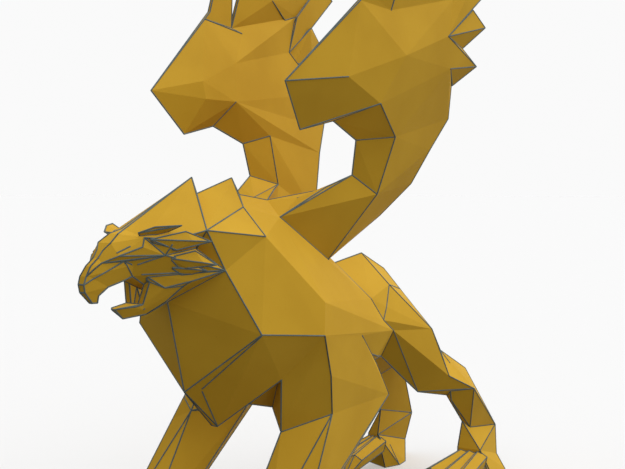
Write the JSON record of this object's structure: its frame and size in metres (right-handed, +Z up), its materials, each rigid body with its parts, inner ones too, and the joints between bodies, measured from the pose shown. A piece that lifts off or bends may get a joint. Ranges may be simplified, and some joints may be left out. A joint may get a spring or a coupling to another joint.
{
  "type": "griffin statue",
  "caption": "Standing griffin figure with raised wings, eagle head and forelegs and lion hind legs, in flat facets, on its own four feet.",
  "frame": {"origin": "middle of the bounding box, on the plane of the soles", "axes": "+Z up, -Y the way the griffin faces, +X its left side"},
  "size_m": [0.1028, 0.2846, 0.2994],
  "materials": {
    "ochre_resin": "satin golden ochre, with dark slate lines along the sharp ridges"
  },
  "bodies": {
    "root": {"griffin": "ochre_resin"}
  },
  "joints": []
}
